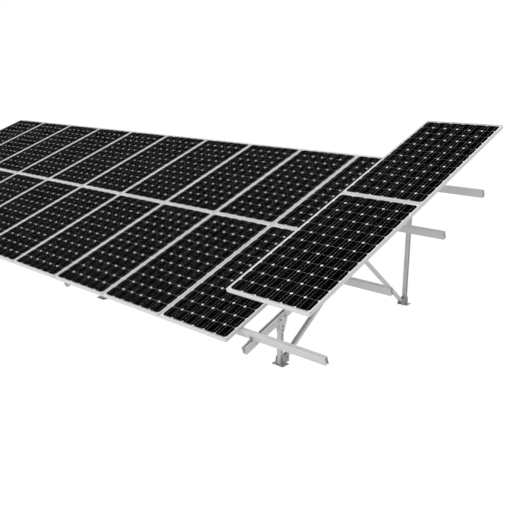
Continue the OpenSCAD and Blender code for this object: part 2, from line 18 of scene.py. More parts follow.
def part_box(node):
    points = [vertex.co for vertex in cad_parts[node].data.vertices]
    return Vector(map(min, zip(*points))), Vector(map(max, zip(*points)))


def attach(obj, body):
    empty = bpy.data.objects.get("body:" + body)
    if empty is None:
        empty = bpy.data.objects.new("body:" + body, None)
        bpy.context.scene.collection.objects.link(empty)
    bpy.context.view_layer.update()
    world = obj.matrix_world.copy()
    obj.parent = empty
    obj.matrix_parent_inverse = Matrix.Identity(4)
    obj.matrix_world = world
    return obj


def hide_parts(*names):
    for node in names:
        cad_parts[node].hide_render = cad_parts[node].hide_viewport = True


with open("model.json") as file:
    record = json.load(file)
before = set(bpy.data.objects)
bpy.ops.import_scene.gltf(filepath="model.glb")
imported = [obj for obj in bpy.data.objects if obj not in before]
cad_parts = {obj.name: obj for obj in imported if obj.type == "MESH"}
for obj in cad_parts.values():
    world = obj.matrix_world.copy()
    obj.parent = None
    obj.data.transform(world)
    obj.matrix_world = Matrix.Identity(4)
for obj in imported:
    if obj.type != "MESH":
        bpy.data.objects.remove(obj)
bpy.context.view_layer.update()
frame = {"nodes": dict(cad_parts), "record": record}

# %% [markdown]
# ## The camera
# The picture is a product view from the front right, a little above the modules.
# Its place and lens were worked out from the corners of the modules, so the camera
# is written as a real place, two angles and a focal length. There is no shift and
# no depth of field, because other views reuse this camera.

# %% Camera
CAMERA_PLACE = Vector((8.8793, -6.1990, 3.0396))
CAMERA_HEADING = math.radians(-42.143)
CAMERA_DROP = math.radians(15.850)
CAMERA_LENS = 47.871
SENSOR_WIDTH = 36
CLIP_END = 200


def looking_direction(heading, drop):
    """Unit vector for a heading from +Y towards +X, and an angle below the horizon."""
    level = math.cos(drop)
    return Vector((math.sin(heading) * level, math.cos(heading) * level, -math.sin(drop)))


camera_data = bpy.data.cameras.new("camera")
camera_data.lens = CAMERA_LENS
camera_data.sensor_width = SENSOR_WIDTH
camera_data.clip_end = CLIP_END
camera = bpy.data.objects.new("camera", camera_data)
camera.location = CAMERA_PLACE
camera.rotation_mode = "QUATERNION"
view = looking_direction(CAMERA_HEADING, CAMERA_DROP)
camera.rotation_quaternion = view.to_track_quat("-Z", "Y")
bpy.context.collection.objects.link(camera)
bpy.context.scene.camera = camera
bpy.context.scene.view_settings.view_transform = "Standard"
print("camera looks along", tuple(round(v, 3) for v in view))

# %% [markdown]
# ## Helpers for shader nodes
# A material is a small network. Writing each link by hand is noisy, so one helper
# adds a node with its settings and another makes a group with named sockets. The
# Principled shader itself always stays in the material, and only its inputs come
# from groups. The Mix node has sockets for numbers, vectors and colours side by
# side, so the ones for colours are reached by number.

# %% Node helpers
MIX_FACTOR, MIX_FIRST, MIX_SECOND = 0, 6, 7
MIX_COLOUR = 2
NOISE_BAND = (0.3, 0.7)


def feed(tree, value, socket):
    """Link a value that is itself a socket, or else set it as the plain value."""
    if isinstance(value, bpy.types.NodeSocket):
        tree.links.new(value, socket)
    else:
        socket.default_value = value


def add_node(tree, kind, inputs=None, **settings):
    """Add a node, set its properties, and feed its inputs by name or number."""
    made = tree.nodes.new(kind)
    for name, value in settings.items():
        setattr(made, name, value)
    for key, value in (inputs or {}).items():
        feed(tree, value, made.inputs[key])
    return made


def math_node(tree, operation, first, second=0.0, clamp=False):
    """One Math node; returns its output socket."""
    ends = {0: first, 1: second}
    made = add_node(tree, "ShaderNodeMath", ends, operation=operation, use_clamp=clamp)
    return made.outputs[0]


def remap(tree, value, low, high, to_low, to_high):
    """Map Range with clamping; returns its output socket."""
    ends = {"Value": value, "From Min": low, "From Max": high, "To Min": to_low, "To Max": to_high}
    return add_node(tree, "ShaderNodeMapRange", ends).outputs["Result"]


def spread(tree, noise, to_low, to_high):
    """Map the band in which most of a noise lies to a new range."""
    return remap(tree, noise, *NOISE_BAND, to_low, to_high)


def mix_colour(tree, factor, first, second):
    """Mix two colours; returns the result socket."""
    ends = {MIX_FACTOR: factor, MIX_FIRST: first, MIX_SECOND: second}
    return add_node(tree, "ShaderNodeMix", ends, data_type="RGBA").outputs[MIX_COLOUR]


def object_place(tree):
    """Coordinates that stay with the object, in metres."""
    return add_node(tree, "ShaderNodeTexCoord").outputs["Object"]


def noise_node(tree, place, scale, detail):
    """One noise texture."""
    ends = {"Vector": place, "Scale": scale, "Detail": detail}
    return add_node(tree, "ShaderNodeTexNoise", ends)


# %% [markdown]
# Groups and materials get a maker each. A group is given its sockets as a list, and a
# material takes the values that are the same all over its surface by name. Those are
# set on the shader itself, so that an exported model keeps them.

# %% Groups and materials
SOCKET_KINDS = {
    "float": "NodeSocketFloat",
    "color": "NodeSocketColor",
    "vector": "NodeSocketVector",
}


def new_group(name, inputs, outputs):
    """A shader node group; returns its tree, its input node and its output node."""
    tree = bpy.data.node_groups.new(name, "ShaderNodeTree")
    for label, kind, value in inputs:
        socket = tree.interface.new_socket(
            label, in_out="INPUT", socket_type=SOCKET_KINDS[kind]
        )
        socket.default_value = value
    for label, kind in outputs:
        tree.interface.new_socket(label, in_out="OUTPUT", socket_type=SOCKET_KINDS[kind])
    return tree, tree.nodes.new("NodeGroupInput"), tree.nodes.new("NodeGroupOutput")


def place_group(tree, group, **inputs):
    """Put a group in a material and set or link its inputs."""
    named = {key.replace("_", " "): value for key, value in inputs.items()}
    return add_node(tree, "ShaderNodeGroup", named, node_tree=group)


def new_material(name, **plain):
    """A material with one Principled shader; returns material, tree and shader."""
    material = bpy.data.materials.new(name)
    material.use_nodes = True
    tree = material.node_tree
    shader = tree.nodes["Principled BSDF"]
    for key, value in plain.items():
        shader.inputs[key.replace("_", " ")].default_value = value
    return material, tree, shader


def paint(tree, shader, colour, roughness):
    """Link a colour and a roughness to a shader."""
    tree.links.new(colour, shader.inputs["Base Color"])
    tree.links.new(roughness, shader.inputs["Roughness"])


def bump(tree, shader, height, distance, strength=0.5):
    """Feed a height to the shader's normal through one Bump node."""
    ends = {"Height": height, "Distance": distance, "Strength": strength}
    tree.links.new(add_node(tree, "ShaderNodeBump", ends).outputs[0], shader.inputs["Normal"])


def grey(value, tint=(1.0, 1.0, 1.0)):
    """A colour of one level, with an optional slight tint."""
    return tuple(value * part for part in tint) + (1.0,)


# %% [markdown]
# ## Three effects that several finishes share
# Hot-dip zinc freezes into flat crystals, so galvanised steel has a faint patchwork
# called spangle. A Voronoi texture gives such patches, and a little noise added to its
# coordinates bends their edges. Each effect is one group with named inputs, placed in
# a material with that material's own values.

# %% Spangle group
WARP_SCALE = 60.0
WARP_REACH = 0.004
ZINC_CLOUDS = 2.2
ZINC_CLOUD_SHIFT = 0.15
ZINC_ROUGHNESS = (0.38, 0.52)


def make_spangle():
    """Colour, roughness and height of zinc crystals."""
    tree, given, out = new_group(
        "Zinc spangle",
        [
            ("Dark", "color", grey(0.5)),
            ("Light", "color", grey(0.7)),
            ("Crystal size", "float", 0.012),
        ],
        [("Color", "color"), ("Roughness", "float"), ("Height", "float")],
    )
    place = object_place(tree)
    scale = math_node(tree, "DIVIDE", 1.0, given.outputs["Crystal size"])
    warp = noise_node(tree, place, WARP_SCALE, 2.0)
    bend = {0: warp.outputs["Color"], "Scale": WARP_REACH}
    bent = add_node(tree, "ShaderNodeVectorMath", bend, operation="SCALE")
    shift = {0: place, 1: bent.outputs[0]}
    moved = add_node(tree, "ShaderNodeVectorMath", shift, operation="ADD")
    crystal = add_node(tree, "ShaderNodeTexVoronoi", {"Vector": moved.outputs[0], "Scale": scale})
    tone = add_node(tree, "ShaderNodeSeparateColor", {0: crystal.outputs["Color"]}).outputs[0]
    cloud = noise_node(tree, place, ZINC_CLOUDS, 4.0)
    soft = spread(tree, cloud.outputs["Fac"], -ZINC_CLOUD_SHIFT, ZINC_CLOUD_SHIFT)
    level = math_node(tree, "ADD", tone, soft, clamp=True)
    colour = mix_colour(tree, level, given.outputs["Dark"], given.outputs["Light"])
    tree.links.new(colour, out.inputs["Color"])
    tree.links.new(remap(tree, tone, 0.0, 1.0, *ZINC_ROUGHNESS), out.inputs["Roughness"])
    tree.links.new(tone, out.inputs["Height"])
    return tree


SPANGLE = make_spangle()
print("group", SPANGLE.name, len(SPANGLE.nodes), "nodes")

# %% [markdown]
# Extruded, rolled and moulded surfaces carry a fine grain. It is one noise whose
# coordinates are turned into the slope and then squeezed, because noise that is
# sampled more slowly in one direction looks drawn out in that direction.

# %% Grain group
GRAIN_DETAIL = 3.0


def make_grain():
    """A fine noise, with a pull along one direction."""
    tree, given, out = new_group(
        "Fine grain",
        [
            ("Scale", "float", 900.0),
            ("Stretch", "vector", (1.0, 1.0, 1.0)),
            ("Tilt", "float", 0.0),
        ],
        [("Value", "float"), ("Height", "float")],
    )
    tilt = {"Vector": object_place(tree), "Angle": given.outputs["Tilt"]}
    turned = add_node(tree, "ShaderNodeVectorRotate", tilt, rotation_type="X_AXIS")
    pull = {0: turned.outputs[0], 1: given.outputs["Stretch"]}
    pulled = add_node(tree, "ShaderNodeVectorMath", pull, operation="MULTIPLY")
    noise = noise_node(tree, pulled.outputs[0], given.outputs["Scale"], GRAIN_DETAIL)
    tree.links.new(noise.outputs["Fac"], out.inputs["Value"])
    tree.links.new(noise.outputs["Fac"], out.inputs["Height"])
    return tree


GRAIN = make_grain()
print("group", GRAIN.name, len(GRAIN.nodes), "nodes")

# %% [markdown]
# Everything that has stood outdoors carries a trace of dust in broad soft clouds. The
# mask is handed out too, because dust also makes a surface duller.

# %% Dust group
DUST_TINT = (1.0, 0.99, 0.97)
DUST_CLOUDS = 5.0
DUST_BAND = (0.42, 0.72)


def make_dust():
    """A colour with dust over it, and the mask of that dust."""
    tree, given, out = new_group(
        "Soft dust",
        [
            ("Color", "color", grey(0.5)),
            ("Dust", "color", grey(0.5, DUST_TINT)),
            ("Amount", "float", 0.1),
        ],
        [("Color", "color"), ("Mask", "float")],
    )
    cloud = noise_node(tree, object_place(tree), DUST_CLOUDS, 6.0)
    patch = remap(tree, cloud.outputs["Fac"], *DUST_BAND, 0.0, 1.0)
    mask = math_node(tree, "MULTIPLY", patch, given.outputs["Amount"])
    colour = mix_colour(tree, mask, given.outputs["Color"], given.outputs["Dust"])
    tree.links.new(colour, out.inputs["Color"])
    tree.links.new(mask, out.inputs["Mask"])
    return tree


DUST = make_dust()
print("group", DUST.name, len(DUST.nodes), "nodes")

# %% [markdown]
# ## Metals
# The cold-formed members are pale galvanised steel. The shoes and cleats are darker
# and duller, bolts are plated, and weld beads are darker still. Real zinc is a mix of
# clear metal and a chalky skin, so a partly metallic value reads better under soft
# light than a full mirror does. All four are one recipe with other values.

# %% Steel finishes
ZINC_TINT = (0.985, 1.0, 0.985)
ZINC_DEPTH = 0.0002


def steel_material(name, dark, light, crystal, metal, dust):
    """Zinc-coated steel between two grey levels, with a trace of dust."""
    material, tree, shader = new_material(name, Metallic=metal)
    ends = {"Dark": grey(dark, ZINC_TINT), "Light": grey(light, ZINC_TINT)}
    zinc = place_group(tree, SPANGLE, Crystal_size=crystal, **ends)
    dusty = place_group(tree, DUST, Color=zinc.outputs["Color"], Amount=dust)
    dull = math_node(tree, "ADD", zinc.outputs["Roughness"], dusty.outputs["Mask"], clamp=True)
    paint(tree, shader, dusty.outputs["Color"], dull)
    bump(tree, shader, zinc.outputs["Height"], ZINC_DEPTH)
    return material


GALVANISED = steel_material(
    "galvanised steel", dark=0.62, light=0.68, crystal=0.014, metal=0.25, dust=0.10
)
DARK_STEEL = steel_material(
    "dark coated steel", dark=0.34, light=0.40, crystal=0.009, metal=0.3, dust=0.10
)
BOLT_ZINC = steel_material(
    "plated bolt steel", dark=0.30, light=0.36, crystal=0.004, metal=0.6, dust=0.05
)
WELD_STEEL = steel_material(
    "weld bead steel", dark=0.20, light=0.30, crystal=0.003, metal=0.4, dust=0.02
)
print("steel finishes", [m.name for m in (GALVANISED, DARK_STEEL, BOLT_ZINC, WELD_STEEL)])

# %% [markdown]
# The module frames are anodised aluminium, which is smoother and whiter than zinc, with
# a satin grain from its extrusion die. The rails run along and across the slope, so the
# grain is turned by the tilt of the table first.

# %% Anodised aluminium
TILT = math.radians(20)
COOL_TINT = (0.99, 1.0, 1.0)
ALUMINIUM_DARK = grey(0.71, COOL_TINT)
ALUMINIUM_LIGHT = grey(0.77, COOL_TINT)
DIE_DEPTH = 0.00006


def drawn_grain(tree, scale, along):
    """Grain pulled out along the slope."""
    return place_group(tree, GRAIN, Scale=scale, Stretch=(1.0, along, 1.0), Tilt=-TILT)


def aluminium_material():
    """Satin extruded metal with a trace of dust."""
    material, tree, shader = new_material("anodised aluminium", Metallic=0.12)
    grain = drawn_grain(tree, 700.0, 0.15)
    level = spread(tree, grain.outputs["Value"], 0.0, 1.0)
    colour = mix_colour(tree, level, ALUMINIUM_DARK, ALUMINIUM_LIGHT)
    dusty = place_group(tree, DUST, Color=colour, Amount=0.06)
    rough = spread(tree, grain.outputs["Value"], 0.34, 0.46)
    paint(tree, shader, dusty.outputs["Color"], rough)
    bump(tree, shader, grain.outputs["Height"], DIE_DEPTH)
    return material


ALUMINIUM = aluminium_material()
print("made", ALUMINIUM.name)

# %% [markdown]
# ## What lies behind the glass
# A cell is a thin slice of nearly black silicon. Hair-fine silver fingers cross it,
# and each cell is a little bluer or browner than the next. The cells carry a UV map
# that counts cells, so one floor of it gives a number to each cell and its fraction
# gives the place within that cell. The white sheet behind shows in every gap.

# %% Cell finish
FINGERS = 76
FINGER_SHINE = 0.005
FINGER_EDGE = (0.86, 0.97)
FINGER_HEIGHT = 0.00002
BLUE_SILICON = (0.0008, 0.0009, 0.0013, 1)
BROWN_SILICON = (0.0026, 0.0023, 0.0023, 1)


def cell_material():
    """Silicon with fingers, and a tone of its own for each cell."""
    material, tree, shader = new_material("solar cell", Metallic=0.0, Specular_IOR_Level=0.0)
    uv = add_node(tree, "ShaderNodeUVMap", uv_map="cells").outputs[0]
    whole = add_node(tree, "ShaderNodeVectorMath", {0: uv}, operation="FLOOR").outputs[0]
    part = add_node(tree, "ShaderNodeVectorMath", {0: uv}, operation="FRACTION").outputs[0]
    number = add_node(tree, "ShaderNodeTexWhiteNoise", {"Vector": whole}, noise_dimensions="3D")
    silicon = mix_colour(tree, number.outputs["Value"], BLUE_SILICON, BROWN_SILICON)
    along = add_node(tree, "ShaderNodeSeparateXYZ", {0: part}).outputs["Y"]
    wave = math_node(tree, "SINE", math_node(tree, "MULTIPLY", along, FINGERS * math.tau))
    finger = remap(tree, wave, *FINGER_EDGE, 0.0, 1.0)
    shown = math_node(tree, "MULTIPLY", finger, FINGER_SHINE)
    colour = mix_colour(tree, shown, silicon, grey(0.42))
    paint(tree, shader, colour, remap(tree, finger, 0.0, 1.0, 0.34, 0.5))
    bump(tree, shader, finger, FINGER_HEIGHT, 0.3)
    return material


CELL_BLACK = cell_material()
print("made", CELL_BLACK.name)

# %% [markdown]
# The ribbons are tinned copper and read as thin grey lines. The back sheet is a white
# film. The glass is almost clear: it is a thin dark sheen over the cells, made with a
# very low alpha, because real refraction would cost far more and show the same.

# %% Ribbon, back sheet and glass finishes
RIBBON_GREYS = (0.14, 0.19)
SHEET_WHITE = grey(0.93, COOL_TINT)
GLASS_TINT = (0.020, 0.024, 0.024, 1)
GLASS_SHEEN = 0.008


def even_grain(tree, scale):
    """Grain that is alike in every direction."""
    return place_group(tree, GRAIN, Scale=scale, Stretch=(1.0, 1.0, 1.0), Tilt=0.0)


def ribbon_material():
    """Tinned flat wire."""
    material, tree, shader = new_material("tinned ribbon", Metallic=0.35)
    fine = drawn_grain(tree, 400.0, 0.2).outputs["Value"]
    colour = mix_colour(tree, fine, *(grey(level) for level in RIBBON_GREYS))
    paint(tree, shader, colour, spread(tree, fine, 0.35, 0.5))
    return material


def back_sheet_material():
    """White film, slightly pebbled."""
    material, tree, shader = new_material("white back sheet")
    fine = even_grain(tree, 1200.0)
    dusty = place_group(tree, DUST, Color=SHEET_WHITE, Amount=0.03)
    paint(tree, shader, dusty.outputs["Color"], spread(tree, fine.outputs["Value"], 0.45, 0.6))
    bump(tree, shader, fine.outputs["Height"], 0.00005, 0.4)
    return material


def glass_material():
    """Patterned solar glass as a faint sheen."""
    material, tree, shader = new_material(
        "solar glass",
        Base_Color=GLASS_TINT, Metallic=0.0, Alpha=GLASS_SHEEN, Specular_IOR_Level=0.2,
    )
    pebble = even_grain(tree, 500.0)
    rough = spread(tree, pebble.outputs["Value"], 0.10, 0.22)
    tree.links.new(rough, shader.inputs["Roughness"])
    bump(tree, shader, pebble.outputs["Height"], 0.00008, 0.25)
    return material


RIBBON = ribbon_material()
BACK_SHEET = back_sheet_material()
GLASS = glass_material()
print("made", [m.name for m in (RIBBON, BACK_SHEET, GLASS)])

# %% [markdown]
# Junction boxes are moulded in black plastic with an even eroded texture. It is never
# pure black, so that the ribs and the lip stay readable in the shade of the table.

# %% Box plastic
PLASTIC_GREYS = (0.018, 0.030)
PLASTIC_DEPTH = 0.00015


def box_plastic_material():
    """Moulded plastic with dust that is darker than on the metals."""
    material, tree, shader = new_material("moulded black plastic")
    fine = even_grain(tree, 800.0)
    colour = mix_colour(tree, fine.outputs["Value"], *(grey(level) for level in PLASTIC_GREYS))
    dusty = place_group(tree, DUST, Color=colour, Dust=grey(0.18), Amount=0.15)
    paint(tree, shader, dusty.outputs["Color"], spread(tree, fine.outputs["Value"], 0.42, 0.6))
    bump(tree, shader, fine.outputs["Height"], PLASTIC_DEPTH)
    return material


BOX_PLASTIC = box_plastic_material()
print("made", BOX_PLASTIC.name)

# %% [markdown]
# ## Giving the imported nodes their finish
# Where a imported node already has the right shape, only its material changes. A node
# is looked up by name, its slots are cleared and the new finish is put in.

# %% Dress a node
SLOT_FINISH = {
    "galvanised_steel": GALVANISED,
    "dark_steel": DARK_STEEL,
    "fasteners": BOLT_ZINC,
    "module_frame": ALUMINIUM,
    "module_glass": GLASS,
    "solar_cells": CELL_BLACK,
    "back_sheet": BACK_SHEET,
    "junction_box": BOX_PLASTIC,
}
slot_of = {row["node"]: row["material_slot"] for row in frame["record"]["subparts"]}
for name, slot in slot_of.items():
    packed = frame["nodes"][name].data
    packed.materials.clear()
    packed.materials.append(SLOT_FINISH[slot])
print("dressed", len(slot_of), "nodes")

# %% [markdown]
# ## Finishing a new piece
# Every new piece goes through the same steps: its bmesh becomes an object at the
# origin, it takes a material and a slot, it rides on the body, and it replaces the
# nodes that it stands for.

# %% Finish helpers


def mesh_from(bm, name):
    """Write a bmesh into a new mesh and free it."""
    mesh = bpy.data.meshes.new(name)
    bm.to_mesh(mesh)
    bm.free()
    return mesh


def finish_piece(bm, name, material, replaced=(), smooth=None):
    """Turn a bmesh into a piece that rides on the root body."""
    mesh = mesh_from(bm, name)
    if smooth is not None:
        mesh.shade_smooth()
        mesh.set_sharp_from_angle(angle=math.radians(smooth))
    piece = bpy.data.objects.new(name, mesh)
    bpy.context.collection.objects.link(piece)
    mesh.materials.append(material)
    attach(piece, "root")
    if replaced:
        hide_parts(*replaced)
    print(name, len(mesh.polygons), "faces")


def bevel(bm, geom, offset, segments, affect="EDGES", **more):
    """An even bevel that keeps the material."""
    bmesh.ops.bevel(
        bm, geom=geom, offset=offset, segments=segments,
        profile=0.5, affect=affect, material=-1, **more,
    )


# %% [markdown]
# ## Where each module lies
# All modules share one tilt, so a module's own coordinates are simple: x across from
# its left edge, y up the slope from its lower edge, and z square to the glass with
# zero at the top face. A column's packed box gives its lower left corner, the lifted
# end column too, so nothing about the layout is typed in twice.

# %% Module places
MODULE_W = 0.992
MODULE_L = 1.956
FRAME_H = 0.040
ROW_GAP = 0.020
ROWS = ("lower", "upper")
COLUMNS = sorted(name for name in frame["nodes"] if name.startswith("module_frames_"))
UP_SLOPE = Vector((0, math.cos(TILT), math.sin(TILT)))


def module_place(column, row):
    """Matrix from a module's own coordinates to the frame."""
    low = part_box(COLUMNS[column])[0]
    corner = low + Vector((0, 0, FRAME_H * math.cos(TILT)))
    start = corner + UP_SLOPE * row * (MODULE_L + ROW_GAP)
    return Matrix.Translation(start) @ Matrix.Rotation(TILT, 4, "X")


print("columns", len(COLUMNS))

# %% [markdown]
# ## The cells
# A round silicon rod is sawn nearly square, which leaves a small cut at each corner
# of a cell: four such cuts meet in the bright diamonds between cells. Here one square
# is laid as a grid of one face, its corners are bevelled, and the outermost corner of
# a module gets a much larger round.

# %% Cell field sizes
CELL = 0.1574
CELL_GAP = 0.0011
PITCH = CELL + CELL_GAP
ACROSS = 6
ALONG = 12
CELL_CUT = 0.0165
MODULE_ROUND = 0.034
RIBBON_TOP = -0.00522
WAFER_TOP = -0.00535
WAFER_T = 0.00018
FIELD_X = (MODULE_W - (ACROSS * PITCH - CELL_GAP)) / 2
FIELD_Y = (MODULE_L - (ALONG * PITCH - CELL_GAP)) / 2
print("margins beside the cells", round(FIELD_X, 4), "and beyond them", round(FIELD_Y, 4))

# %% One cell


def at_end(index, count, value, middle):
    """True where a corner lies on the outer side of the first or the last cell."""
    return (index == 0 and value < middle) or (index == count - 1 and value > middle)


def add_cell(bm, column, row):
    """One wafer face with its four corners cut."""
    x = FIELD_X + CELL / 2 + column * PITCH
    y = FIELD_Y + CELL / 2 + row * PITCH
    place = Matrix.Translation((x, y, WAFER_TOP))
    made = bmesh.ops.create_grid(bm, x_segments=1, y_segments=1, size=CELL / 2, matrix=place)
    rounded = [
        v for v in made["verts"]
        if at_end(column, ACROSS, v.co.x, x) and at_end(row, ALONG, v.co.y, y)
    ]
    plain = [v for v in made["verts"] if v not in rounded]
    bevel(bm, plain, CELL_CUT, 1, "VERTICES")
    if rounded:
        bevel(bm, rounded, MODULE_ROUND, 5, "VERTICES")


# %% [markdown]
# Solidify gives the wafers their thickness. Then the UV map is written: one unit of it
# is one cell with half a gap on each side.

# %% One module's cells


def module_cells():
    """Mesh of one module's cells, with a UV map that counts cells."""
    bm = bmesh.new()
    for row in range(ALONG):
        for column in range(ACROSS):
            add_cell(bm, column, row)
    bmesh.ops.solidify(bm, geom=bm.faces[:], thickness=WAFER_T)
    top = max(v.co.z for v in bm.verts)
    bmesh.ops.translate(bm, verts=bm.verts, vec=(0, 0, WAFER_TOP - top))
    bmesh.ops.recalc_face_normals(bm, faces=bm.faces)
    uv = bm.loops.layers.uv.new("cells")
    for face in bm.faces:
        for loop in face.loops:
            x = (loop.vert.co.x - FIELD_X + CELL_GAP / 2) / PITCH
            y = (loop.vert.co.y - FIELD_Y + CELL_GAP / 2) / PITCH
            loop[uv].uv = (x, y)
    return mesh_from(bm, "module cells")


CELL_MESH = module_cells()
print("one module has", len(CELL_MESH.polygons), "cell faces")

# %% [markdown]
# One module is made once, and then copied to every place of its row. The cells are
# renumbered on the way, so that no two cells of the table share a tone by rule.

# %% All cells


def copies(mesh, row, renumber=False):
    """A bmesh with one copy of a module-sized mesh at each place of a row."""
    bm = bmesh.new()
    for column in range(len(COLUMNS)):
        before = len(bm.verts)
        faces_before = len(bm.faces)
        bm.from_mesh(mesh)
        bm.verts.ensure_lookup_table()
        bmesh.ops.transform(bm, matrix=module_place(column, row), verts=bm.verts[before:])
        if renumber:
            uv = bm.loops.layers.uv["cells"]
            bm.faces.ensure_lookup_table()
            for face in bm.faces[faces_before:]:
                for loop in face.loops:
                    loop[uv].uv.x += column * ACROSS
                    loop[uv].uv.y += row * ALONG
    return bm


for row, word in enumerate(ROWS):
    cells = copies(CELL_MESH, row, renumber=True)
    finish_piece(cells, word + "_wafers", CELL_BLACK, [word + "_cells"])

# %% [markdown]
# ## The ribbons
# Flat tinned wires run up each string, over the cells, and cross ribbons in the white
# margins join the strings in a zigzag. They are thin boxes just under the glass.

# %% Ribbons
RIBBONS_PER_CELL = 2
RIBBON_W = 0.0024
RIBBON_T = 0.0001
CROSS_W = 0.005
CROSS_OUT = 0.007


def add_bar(bm, low, high):
    """A closed box between two corners."""
    middle = (Vector(low) + Vector(high)) / 2
    size = Vector(high) - Vector(low)
    place = Matrix.Translation(middle) @ Matrix.Diagonal((*size, 1))
    bmesh.ops.create_cube(bm, size=1, matrix=place)


def module_ribbons():
    """Mesh of one module's ribbons."""
    bm = bmesh.new()
    far = MODULE_L - FIELD_Y
    bottom, top = RIBBON_TOP - RIBBON_T, RIBBON_TOP
    step = CELL / RIBBONS_PER_CELL
    for string in range(ACROSS):
        left = FIELD_X + string * PITCH
        for k in range(RIBBONS_PER_CELL):
            x = left + (k + 0.5) * step
            low = (x - RIBBON_W / 2, FIELD_Y - CROSS_OUT, bottom)
            high = (x + RIBBON_W / 2, far + CROSS_OUT, top)
            add_bar(bm, low, high)
    for end, first in ((FIELD_Y - CROSS_OUT, 0), (far + CROSS_OUT, 1)):
        for string in range(first, ACROSS - 1, 2):
            x0 = FIELD_X + string * PITCH + step / 2
            x1 = x0 + PITCH + 2 * step
            add_bar(bm, (x0, end - CROSS_W / 2, bottom), (x1, end + CROSS_W / 2, top))
    return mesh_from(bm, "module ribbons")


RIBBON_MESH = module_ribbons()
for row, word in enumerate(ROWS):
    finish_piece(copies(RIBBON_MESH, row), word + "_ribbons", RIBBON)

# %% [markdown]
# ## The junction boxes
# Each module has a flat moulded box glued to its back. Its base has rounded corners,
# its lid is inset by a lip with a few stiffening ribs, and two cable glands point
# down the slope. The box is grown from a cube by bevels and insets. It is built upside
# down in the module's coordinates, with its lid towards the ground.

# %% Junction box body
BOX_W = 0.110
BOX_L = 0.090
BOX_H = 0.022
BOX_CORNER = 0.009
LID_IN = 0.005
LID_STEP = 0.003
RIB_COUNT = 4
RIB_W = 0.003
RIB_LOW = 0.0002
RIB_END = 3 * LID_IN


def is_upright(edge):
    """True for the four edges that run from the lid to the glued face."""
    return abs(edge.verts[0].co.z - edge.verts[1].co.z) > BOX_H / 2


def add_box_body(bm):
    """Rounded body with an inset lid and ribs, its glued face at z = 0."""
    add_bar(bm, (-BOX_W / 2, -BOX_L / 2, -BOX_H + LID_STEP), (BOX_W / 2, BOX_L / 2, 0))
    bevel(bm, [e for e in bm.edges if is_upright(e)], BOX_CORNER, 4)
    lid = min(bm.faces, key=lambda face: face.calc_center_median().z)
    bmesh.ops.inset_individual(bm, faces=[lid], thickness=LID_IN)
    raised = bmesh.ops.extrude_face_region(bm, geom=[lid])
    moved = [v for v in raised["geom"] if isinstance(v, bmesh.types.BMVert)]
    bmesh.ops.translate(bm, verts=moved, vec=(0, 0, -LID_STEP))
    bmesh.ops.delete(bm, geom=[lid], context="FACES_ONLY")
    for k in range(RIB_COUNT):
        x = (k + 0.5 - RIB_COUNT / 2) * BOX_W / (RIB_COUNT + 2)
        low = (x - RIB_W / 2, -BOX_L / 2 + RIB_END, -BOX_H + RIB_LOW)
        high = (x + RIB_W / 2, BOX_L / 2 - RIB_END, -BOX_H + LID_STEP)
        add_bar(bm, low, high)


# %% [markdown]
# A gland is turned on a lathe, so a profile is spun round its axis. The profile is a
# list of (radius, height) points: a collar at the box, a neck, the nut, a narrower
# mouth, and then back inside along the bore.

# %% Cable glands
GLAND_R = 0.006
GLAND_L = 0.022
GLAND_BORE = 0.003
NECK_R = GLAND_R * 0.8
MOUTH_R = GLAND_R * 0.7
SPIN_STEPS = 20
SPIN_JOIN = 1e-6
GLAND_PROFILE = [
    (0, 0.0), (GLAND_R, 0.0), (GLAND_R, 0.007), (NECK_R, 0.008),
    (NECK_R, 0.010), (GLAND_R, 0.011), (GLAND_R, 0.018), (MOUTH_R, GLAND_L),
    (GLAND_BORE, GLAND_L), (GLAND_BORE, GLAND_L / 2), (0, GLAND_L / 2),
]


def add_spun(bm, profile, place):
    """Spin (radius, height) points about local Z into a closed round shape."""
    before = set(bm.verts)
    ring = [bm.verts.new((r, 0, z)) for r, z in profile]
    chain = [bm.edges.new((a, b)) for a, b in zip(ring, ring[1:])]
    bmesh.ops.spin(
        bm, geom=ring + chain, cent=(0, 0, 0), axis=(0, 0, 1), dvec=(0, 0, 0),
        angle=math.tau, steps=SPIN_STEPS, use_merge=True, use_duplicate=False,
    )
    spun = [v for v in bm.verts if v not in before]
    bmesh.ops.remove_doubles(bm, verts=spun, dist=SPIN_JOIN)
    spun = [v for v in bm.verts if v not in before]
    faces = list({f for v in spun for f in v.link_faces})
    bmesh.ops.recalc_face_normals(bm, faces=faces)
    bmesh.ops.transform(bm, matrix=place, verts=spun)


# %% [markdown]
# The box with its two glands is put in the middle of a module's width, near its upper
# end, on the back of the white sheet. The copies then follow the modules.

# %% All junction boxes
BOX_INSET = 0.150
SHEET_LOW = -0.0066
BOX_SMOOTH = 40


def junction_box_mesh():
    """Mesh of one junction box in its module's coordinates."""
    bm = bmesh.new()
    add_box_body(bm)
    for side in (-1, 1):
        exit_hole = Matrix.Translation((side * BOX_W / 4, -BOX_L / 2, -BOX_H / 2))
        add_spun(bm, GLAND_PROFILE, exit_hole @ Matrix.Rotation(math.pi / 2, 4, "X"))
    glued = Matrix.Translation((MODULE_W / 2, MODULE_L - BOX_INSET, SHEET_LOW))
    bmesh.ops.transform(bm, matrix=glued, verts=bm.verts)
    bmesh.ops.recalc_face_normals(bm, faces=bm.faces)
    return mesh_from(bm, "junction box")


JUNCTION_MESH = junction_box_mesh()
for row, word in enumerate(ROWS):
    finish_piece(
        copies(JUNCTION_MESH, row), word + "_box_shells", BOX_PLASTIC,
        [word + "_junction_boxes"], BOX_SMOOTH,
    )

# %% [markdown]
# ## The bolts
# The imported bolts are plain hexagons. A real head has its corners chamfered, the
# washers are thin rings and the end of the thread is pointed. The place and direction
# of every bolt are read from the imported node: its mesh is split into islands, and in
# the slope's own axes the longest side of an island's box is the bolt's axis.

